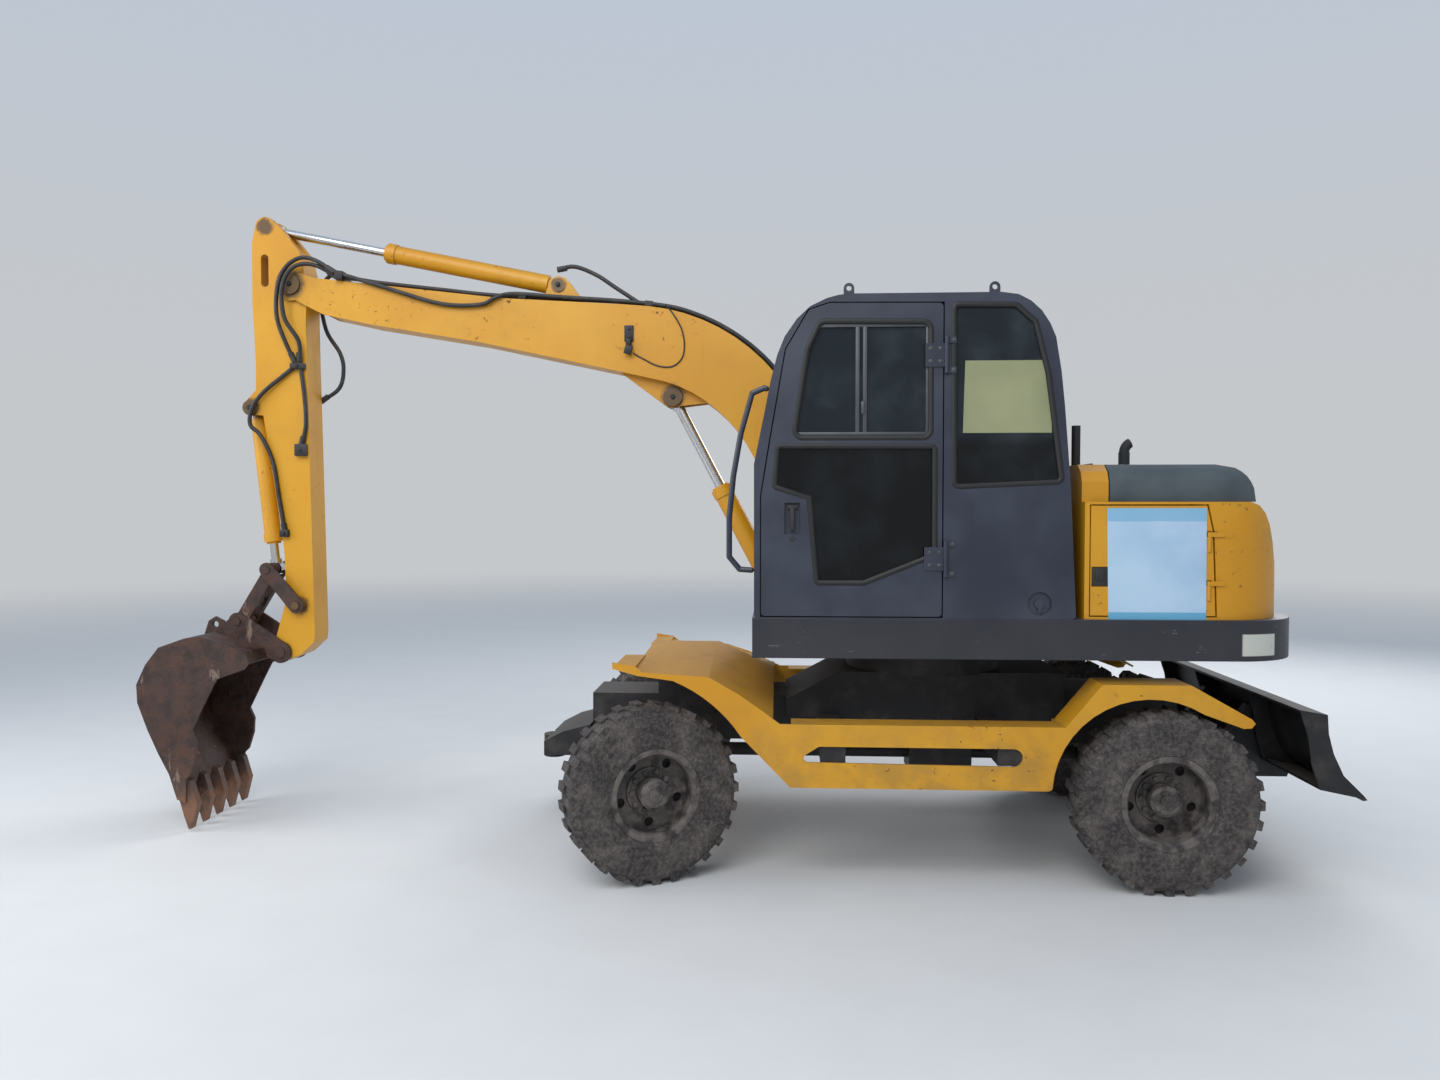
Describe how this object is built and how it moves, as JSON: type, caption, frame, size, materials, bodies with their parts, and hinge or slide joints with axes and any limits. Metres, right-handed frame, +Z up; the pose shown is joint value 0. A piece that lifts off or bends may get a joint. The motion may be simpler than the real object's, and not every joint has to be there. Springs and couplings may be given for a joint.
{
  "type": "wheeled excavator",
  "caption": "Compact wheeled excavator with a slewing cab, a digging arm with its bucket, and a dozer blade, on four lugged tyres.",
  "frame": {"origin": "on the ground under the slewing axis", "axes": "+X forward along the boom, +Y to the machine's left, +Z up"},
  "size_m": [6.339, 2.2986, 3.4835],
  "materials": {
    "yellow_paint": "worn gloss",
    "slate_paint": "satin",
    "frame_black": "dusty matt",
    "tyre_rubber": "dusty matt",
    "rim_paint": "dusty matt",
    "chrome_rod": "polished",
    "window_glass": "tinted",
    "seat_cloth": "woven",
    "black_plastic": "matt",
    "engine_iron": "matt",
    "hood_grey": "satin",
    "rusty_steel": "matt",
    "bucket_steel": "worn and rusty",
    "hose_rubber": "matt"
  },
  "bodies": {
    "undercarriage": {"chassis": "frame_black", "side_frame_left": "yellow_paint", "side_frame_right": "yellow_paint", "front_axle": "frame_black", "rear_axle": "frame_black", "drive_line": "frame_black"},
    "steering_rod": {"steering_rod": "chrome_rod"},
    "knuckle_left": {"knuckle_left": "frame_black"},
    "knuckle_right": {"knuckle_right": "frame_black"},
    "front_wheel_left": {"front_tyre_left": "tyre_rubber", "front_rim_left": "rim_paint"},
    "front_wheel_right": {"front_tyre_right": "tyre_rubber", "front_rim_right": "rim_paint"},
    "rear_wheel_left": {"rear_tyre_left": "tyre_rubber", "rear_rim_left": "rim_paint"},
    "rear_wheel_right": {"rear_tyre_right": "tyre_rubber", "rear_rim_right": "rim_paint"},
    "blade": {"blade": "frame_black"},
    "blade_barrel": {"blade_barrel": "frame_black"},
    "blade_rod": {"blade_rod": "chrome_rod"},
    "upper": {"deck": "slate_paint", "counterweight": "yellow_paint", "cab": "slate_paint", "cab_glass": "window_glass", "seat": "seat_cloth", "controls": "black_plastic", "engine": "engine_iron", "engine_cover": "yellow_paint", "air_intake": "black_plastic", "side_tank": "yellow_paint", "grab_handle": "slate_paint"},
    "cab_door": {"cab_door": "slate_paint", "door_glass": "window_glass"},
    "engine_door": {"engine_door": "yellow_paint"},
    "hood": {"hood": "hood_grey", "exhaust": "rusty_steel"},
    "boom": {"boom": "yellow_paint", "boom_hoses": "hose_rubber", "elbow_hoses": "hose_rubber"},
    "boom_barrel": {"boom_barrel": "yellow_paint"},
    "boom_rod": {"boom_rod": "chrome_rod"},
    "arm": {"arm": "yellow_paint", "arm_hoses": "hose_rubber"},
    "arm_barrel": {"arm_barrel": "yellow_paint"},
    "arm_rod": {"arm_rod": "chrome_rod"},
    "bucket": {"bucket": "bucket_steel"},
    "bucket_barrel": {"bucket_barrel": "yellow_paint"},
    "bucket_rod": {"bucket_rod": "chrome_rod"},
    "rocker": {"rocker": "bucket_steel"},
    "link": {"link": "bucket_steel"}
  },
  "joints": [
    {"name": "steer_left", "type": "hinge", "parent": "undercarriage", "child": "knuckle_left", "pos_m": [1.485, 0.76, 0.435], "axis": [0, 0, 1], "range_deg": [-56, 4]},
    {"name": "steer_right", "type": "hinge", "parent": "undercarriage", "child": "knuckle_right", "pos_m": [1.485, -0.76, 0.435], "axis": [0, 0, 1], "range_deg": [-56, 4]},
    {"name": "steering_rod_slide", "type": "slide", "parent": "undercarriage", "child": "steering_rod", "axis": [0, 1, 0], "range_m": [-0.02, 0.2]},
    {"name": "front_wheel_left_spin", "type": "hinge", "parent": "knuckle_left", "child": "front_wheel_left", "pos_m": [1.43459, 0.86336, 0.435], "axis": [-0.4384, 0.8988, 0], "continuous": true},
    {"name": "front_wheel_right_spin", "type": "hinge", "parent": "knuckle_right", "child": "front_wheel_right", "pos_m": [1.53541, -0.86336, 0.435], "axis": [-0.4384, 0.8988, 0], "continuous": true},
    {"name": "rear_wheel_left_spin", "type": "hinge", "parent": "undercarriage", "child": "rear_wheel_left", "pos_m": [-1.035, 0.875, 0.435], "axis": [0, 1, 0], "continuous": true},
    {"name": "rear_wheel_right_spin", "type": "hinge", "parent": "undercarriage", "child": "rear_wheel_right", "pos_m": [-1.035, -0.875, 0.435], "axis": [0, 1, 0], "continuous": true},
    {"name": "blade_lift", "type": "hinge", "parent": "undercarriage", "child": "blade", "pos_m": [-1.38, 0, 0.47], "axis": [0, -1, 0], "range_deg": [0, 52]},
    {"name": "blade_barrel_turn", "type": "hinge", "parent": "undercarriage", "child": "blade_barrel", "pos_m": [-1.15, 0, 0.88], "axis": [0, -1, 0], "range_deg": [0, 21]},
    {"name": "blade_rod_slide", "type": "slide", "parent": "blade_barrel", "child": "blade_rod", "axis": [-0.9506, 0, -0.3104], "range_m": [0, 0.25]},
    {"name": "slew", "type": "hinge", "parent": "undercarriage", "child": "upper", "pos_m": [0, 0, 1], "axis": [0, 0, 1], "continuous": true},
    {"name": "cab_door_swing", "type": "hinge", "parent": "upper", "child": "cab_door", "pos_m": [0.014, 0.962, 1.6], "axis": [0, 0, 1], "range_deg": [0, 160]},
    {"name": "engine_door_swing", "type": "hinge", "parent": "upper", "child": "engine_door", "pos_m": [-1.215, 0.93, 1.6], "axis": [0, 0, 1], "range_deg": [0, 120]},
    {"name": "hood_lift", "type": "hinge", "parent": "upper", "child": "hood", "pos_m": [-0.771, 0, 2.041], "axis": [0, 1, 0], "range_deg": [0, 55]},
    {"name": "boom_lift", "type": "hinge", "parent": "upper", "child": "boom", "pos_m": [0.43, -0.06, 1.48], "axis": [0, -1, 0], "range_deg": [-50, 15]},
    {"name": "boom_barrel_turn", "type": "hinge", "parent": "upper", "child": "boom_barrel", "pos_m": [0.79, -0.06, 1.29], "axis": [0, -1, 0], "range_deg": [-57, 18]},
    {"name": "boom_rod_slide", "type": "slide", "parent": "boom_barrel", "child": "boom_rod", "axis": [0.4654, 0, 0.8851], "range_m": [-0.34, 0.11]},
    {"name": "arm_swing", "type": "hinge", "parent": "boom", "child": "arm", "pos_m": [3.584, -0.06, 3.097], "axis": [0, 1, 0], "range_deg": [-95, 20], "deforming": ["elbow_hoses"]},
    {"name": "arm_barrel_turn", "type": "hinge", "parent": "boom", "child": "arm_barrel", "pos_m": [2.054, -0.06, 3.088], "axis": [0, 1, 0], "range_deg": [-2, 2]},
    {"name": "arm_rod_slide", "type": "slide", "parent": "arm_barrel", "child": "arm_rod", "axis": [0.98, 0, 0.199], "range_m": [-0.58, 0.13]},
    {"name": "bucket_curl", "type": "hinge", "parent": "arm", "child": "bucket", "pos_m": [3.669, -0.06, 0.989], "axis": [0, 1, 0], "range_deg": [-8, 90]},
    {"name": "rocker_turn", "type": "hinge", "parent": "arm", "child": "rocker", "pos_m": [3.566, -0.06, 1.263], "axis": [0, 1, 0], "range_deg": [-10, 98]},
    {"name": "link_turn", "type": "hinge", "parent": "bucket", "child": "link", "pos_m": [3.923, -0.06, 1.169], "axis": [0, 1, 0], "range_deg": [-75, 8]},
    {"name": "bucket_barrel_turn", "type": "hinge", "parent": "arm", "child": "bucket_barrel", "pos_m": [3.838, -0.06, 2.4], "axis": [0, 1, 0], "range_deg": [-6, 1]},
    {"name": "bucket_rod_slide", "type": "slide", "parent": "bucket_barrel", "child": "bucket_rod", "axis": [-0.1068, 0, -0.9943], "range_m": [-0.04, 0.4]}
  ],
  "couplings": [
    {"joint": "steer_right", "follows": "steer_left", "ratio": 1},
    {"joint": "steering_rod_slide", "follows": "steer_left", "m_per_rad": -0.19},
    {"joint": "blade_barrel_turn", "follows": "blade_lift", "ratio": 0.38},
    {"joint": "blade_rod_slide", "follows": "blade_lift", "m_per_rad": 0.265},
    {"joint": "boom_barrel_turn", "follows": "boom_lift", "ratio": 1.11},
    {"joint": "boom_rod_slide", "follows": "boom_lift", "m_per_rad": 0.37},
    {"joint": "arm_barrel_turn", "follows": "arm_swing", "ratio": 0.01},
    {"joint": "arm_rod_slide", "follows": "arm_swing", "m_per_rad": 0.34},
    {"joint": "rocker_turn", "follows": "bucket_curl", "ratio": 1.08},
    {"joint": "link_turn", "follows": "bucket_curl", "ratio": -0.82},
    {"joint": "bucket_barrel_turn", "follows": "bucket_curl", "ratio": -0.06},
    {"joint": "bucket_rod_slide", "follows": "bucket_curl", "m_per_rad": 0.25}
  ]
}
